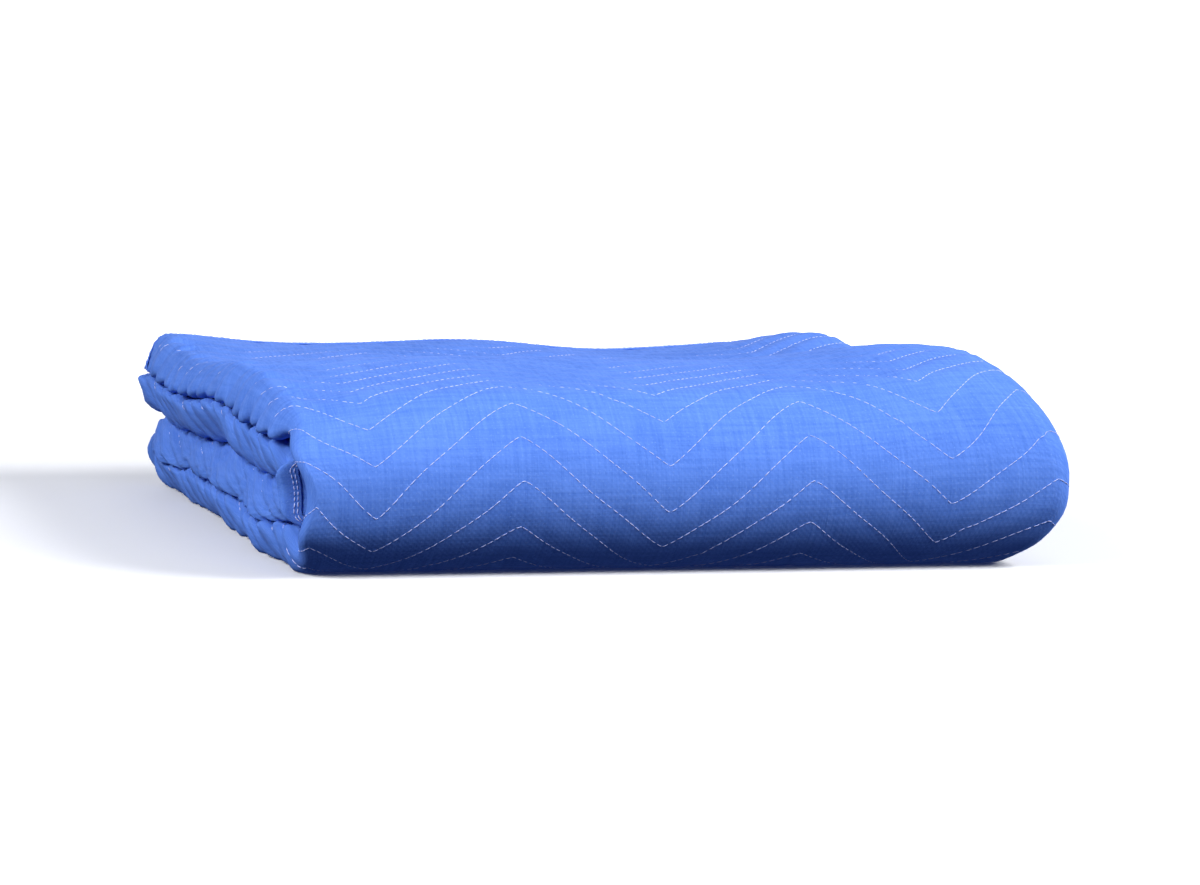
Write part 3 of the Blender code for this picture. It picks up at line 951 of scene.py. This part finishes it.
def spunThread(name, finish):
    # spun polyester sewing thread: pale, slightly glossy, twisted
    material, tree, shader = newMaterial(name)
    where = addNode(tree, "ShaderNodeTexCoord").outputs["Object"]
    twist = addNode(tree, "ShaderNodeTexNoise", {"noise_dimensions": "3D"}, Vector=where,
                    Scale=finish["twistsPerMetre"], Detail=2.0).outputs["Fac"]
    tone = addNode(tree, "ShaderNodeMix", {"data_type": "RGBA"}, i0=twist,
                   i6=toLinear(finish["shade"]), i7=toLinear(finish["colour"]))
    tree.links.new(tone.outputs[2], shader.inputs["Base Color"])
    bump = addNode(tree, "ShaderNodeBump", Height=twist, Strength=finish["bumpStrength"],
                   Distance=finish["twistDepth"])
    tree.links.new(bump.outputs["Normal"], shader.inputs["Normal"])
    shader.inputs["Roughness"].default_value = finish["roughness"]
    return material


cloth = wovenCloth("royal blue woven poly-cotton", clothFinish)
tapeCloth = wovenCloth("royal blue woven tape", tapeFinish)
sewing = spunThread("spun polyester thread", threadFinish)
print("materials made")

panel = makePanel(cloth)
tape = makeBinding(tapeCloth)
quiltThread = makeQuiltingThread(sewing)
tapeThread = makeBindingThread(sewing)
for piece in (panel, tape, quiltThread, tapeThread):
    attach(piece, "root")
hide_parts("quilted_blanket")
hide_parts("edge_binding")

# Floor, light and camera, in metres, watts and degrees.
studio = {
    "floorHex": "#f1f2f4",
    "worldHex": "#b9caff",
    "worldStrength": 0.12,
    "softboxes": [  # name, watts, width and height, place
        ("rightSoftbox", 106.0, (1.5, 1.3), (2.05, -1.20, 1.62)),
        ("leftSoftbox", 66.0, (1.1, 1.1), (-2.00, -1.10, 1.45)),
        ("overheadSoftbox", 9.0, (1.4, 0.8), (0.10, -1.90, 2.00)),
        ("rearSoftbox", 16.0, (1.6, 0.3), (0.30, 2.60, 0.30)),
    ],
    "lightsAim": (0.0, 0.0, 0.05),
    "floorRings": (0.8, 1.6, 2.4, 3.2),   # the last is where the paper starts to curve up
    "floorCurve": 1.4,
    "floorHigh": 6.0,
    "floorAround": 96,
    "floorRoughness": 0.95,
    "paintedGlowFrom": 0.45,          # from the blanket's middle
    "paintedGlowFull": 1.5,
    "aim": (0.005, -0.03, 0.058),
    "azimuthLeft": 18.4,
    "elevation": 6.5,
    "distance": 2.26,
    "focal": 105.0,
    "sensor": 36.0,
    "roll": 2.0,
    "nearest": 0.05,
    "farthest": 60.0,
}


def floorPaper():
    # matt white paper: even, with no shine; far off it glows with painted light
    material, tree, shader = newMaterial("matt white paper sweep")
    shader.inputs["Base Color"].default_value = toLinear(studio["floorHex"])
    shader.inputs["Roughness"].default_value = studio["floorRoughness"]
    # painted light: the far paper glows, not at all near the blanket and more with the distance, so that
    # it shows white
    where = addNode(tree, "ShaderNodeTexCoord").outputs["Object"]
    away = addNode(tree, "ShaderNodeVectorMath", {"operation": "LENGTH"}, i0=where).outputs["Value"]
    glow = addNode(tree, "ShaderNodeMapRange", {"interpolation_type": "SMOOTHSTEP"}, Value=away,
                   From_Min=studio["paintedGlowFrom"], From_Max=studio["paintedGlowFull"], To_Min=0.0, To_Max=1.0)
    # white emission on the paper: painted light, not a lamp
    shader.inputs["Emission Color"].default_value = (1.0, 1.0, 1.0, 1.0)
    tree.links.new(glow.outputs["Result"], shader.inputs["Emission Strength"])
    return material


def makeFloor():
    # a round white paper sweep: flat under the blanket, curving up all round it far off
    flat, curve, around = studio["floorRings"][-1], studio["floorCurve"], studio["floorAround"]
    profile = [(radius, 0.0) for radius in studio["floorRings"]]
    for turn in range(6, 91, 6):
        profile.append((flat + curve * sin(radians(turn)), curve - curve * cos(radians(turn))))
    profile.append((flat + curve, studio["floorHigh"]))
    points = [(0.0, 0.0, 0.0)]
    for radius, z in profile:
        angles = [2 * pi * k / around for k in range(around)]
        points += [(radius * cos(angle), radius * sin(angle), z) for angle in angles]
    faces = [(0, 1 + k, 1 + (k + 1) % around) for k in range(around)]
    for ring in range(len(profile) - 1):
        here, there = 1 + ring * around, 1 + (ring + 1) * around
        for k in range(around):
            far = (k + 1) % around
            faces.append((here + k, there + k, there + far, here + far))
    floor = newObject("studioFloor", points, faces, floorPaper())
    floor.visible_diffuse = False    # black flags on the floor: no light bounces up under the pile


def makeLight(name, power, size, spot):
    data = bpy.data.lights.new(name, "AREA")
    data.shape, data.size, data.size_y, data.energy = "RECTANGLE", size[0], size[1], power
    lamp = bpy.data.objects.new(name, data)
    bpy.context.scene.collection.objects.link(lamp)
    lamp.location = spot
    lamp.visible_camera = False
    lamp.rotation_euler = (Vector(studio["lightsAim"]) - Vector(spot)).to_track_quat("-Z", "Y").to_euler()


def makeWorld():
    world = bpy.data.worlds.new("studio air")
    bpy.context.scene.world = world
    world.use_nodes = True
    background = world.node_tree.nodes["Background"]
    background.inputs["Color"].default_value = toLinear(studio["worldHex"])
    background.inputs["Strength"].default_value = studio["worldStrength"]
    bpy.context.scene.view_settings.view_transform = "Standard"


def makeCamera():
    data = bpy.data.cameras.new("camera")
    camera = bpy.data.objects.new("camera", data)
    bpy.context.scene.collection.objects.link(camera)
    azimuth, elevation = radians(studio["azimuthLeft"]), radians(studio["elevation"])
    back = Vector((-sin(azimuth) * cos(elevation), -cos(azimuth) * cos(elevation), sin(elevation)))
    camera.location = Vector(studio["aim"]) + back * studio["distance"]
    look = (-back).to_track_quat("-Z", "Y")
    camera.rotation_mode = "QUATERNION"
    camera.rotation_quaternion = look @ Quaternion(Vector((0, 0, 1)), radians(studio["roll"]))
    data.lens, data.sensor_width = studio["focal"], studio["sensor"]
    data.clip_start, data.clip_end = studio["nearest"], studio["farthest"]
    bpy.context.scene.camera = camera


makeFloor()
for name, power, size, spot in studio["softboxes"]:
    makeLight(name, power, size, spot)
makeWorld()
makeCamera()
print("floor, lights and camera placed")
